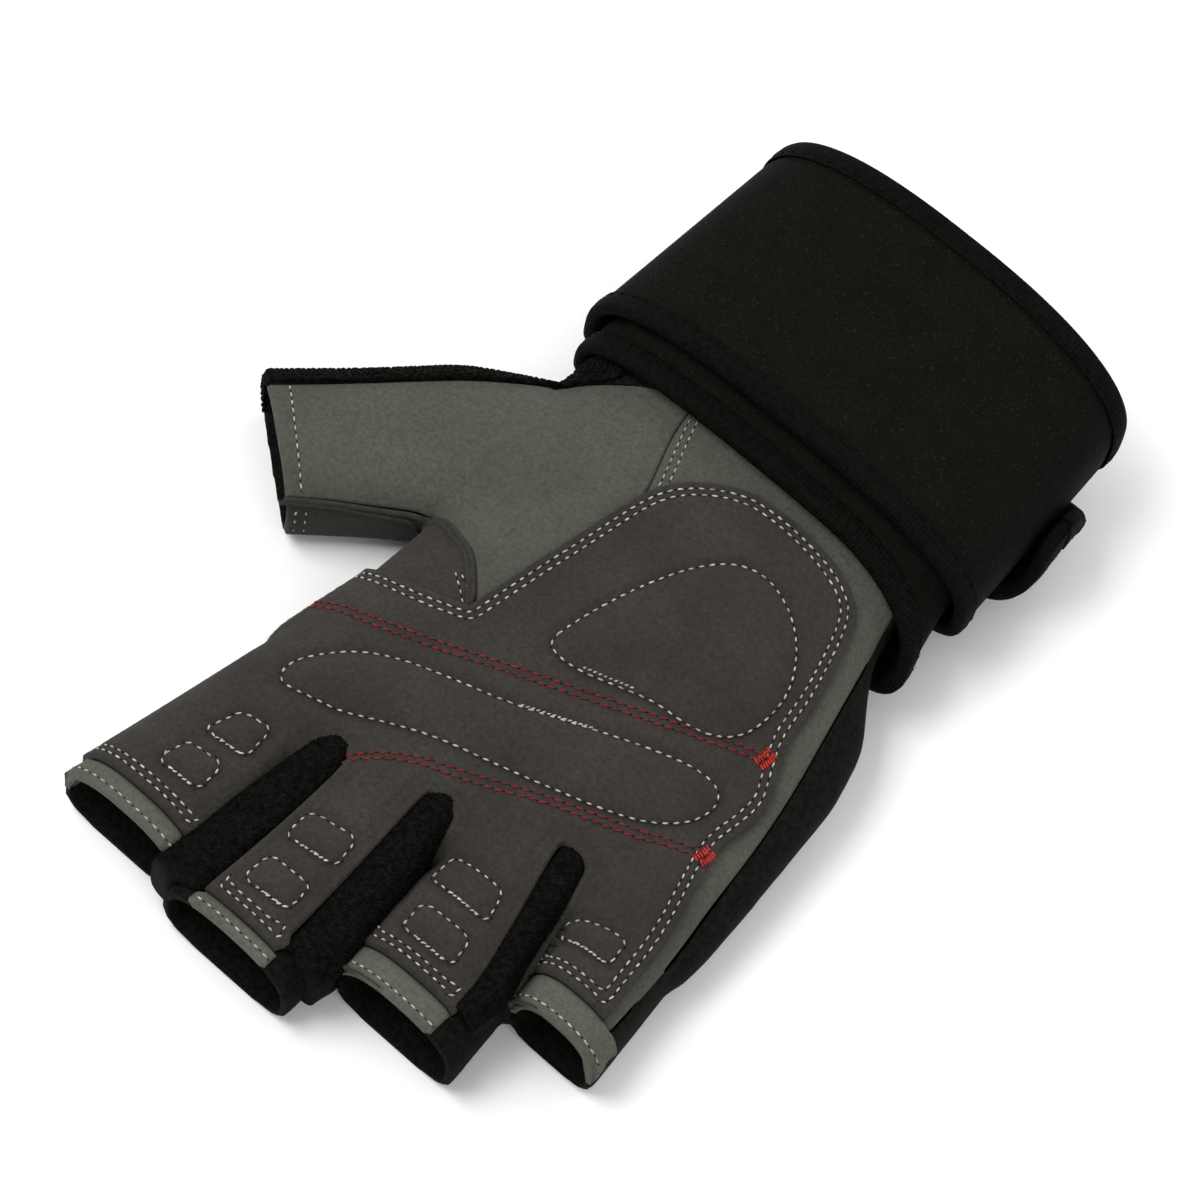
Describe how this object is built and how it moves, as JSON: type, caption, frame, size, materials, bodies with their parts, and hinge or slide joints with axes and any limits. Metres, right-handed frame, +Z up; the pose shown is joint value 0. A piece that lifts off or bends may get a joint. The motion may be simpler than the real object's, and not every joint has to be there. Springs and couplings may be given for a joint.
{
  "type": "weightlifting glove",
  "caption": "Half-finger lifting glove for the right hand with padded suede palm, open finger stalls and thumb, and a long wrist wrap wound round the cuff.",
  "frame": {"origin": "on the surface the glove lies on, under the middle of its bounding box", "axes": "+Z up out of the palm, +Y from the fingers to the wrist, -X towards the thumb"},
  "size_m": [0.1428, 0.1986, 0.0406],
  "materials": {
    "suede": "dark warm grey synthetic suede, matt with a fine mottled nap",
    "light_leather": "light grey-green synthetic suede leather, matt",
    "ribbed_knit": "black looped rib knit",
    "stretch_knit": "black smooth stretch knit",
    "neoprene": "black jersey-faced neoprene, matt",
    "binding_tape": "black fine ribbed binding tape with a slight sparkle",
    "hook_fastener": "black hook tape",
    "white_thread": "off-white sewing thread",
    "red_thread": "red sewing thread"
  },
  "bodies": {
    "root": {"back_panel": "stretch_knit", "back_thumb": "stretch_knit", "back_index": "stretch_knit", "back_middle": "stretch_knit", "back_ring": "stretch_knit", "back_little": "stretch_knit", "palm_base": "light_leather", "palm_suede": "suede", "thumb_panel": "light_leather", "thumb_gusset": "suede", "thumb_knit": "ribbed_knit", "hem_index": "light_leather", "hem_middle": "light_leather", "hem_ring": "light_leather", "hem_little": "light_leather", "finger_knit_1": "ribbed_knit", "finger_knit_2": "ribbed_knit", "finger_knit_3": "ribbed_knit", "heel_pad": "suede", "knuckle_pad": "suede", "finger_pad_index_upper": "suede", "finger_pad_index_lower": "suede", "finger_pad_middle_upper": "suede", "finger_pad_middle_lower": "suede", "finger_pad_ring_upper": "suede", "finger_pad_ring_lower": "suede", "finger_pad_little": "suede", "wrist_wrap": "neoprene", "wrap_binding_near": "binding_tape", "wrap_binding_far": "binding_tape", "hook_patch": "hook_fastener"}
  },
  "joints": []
}
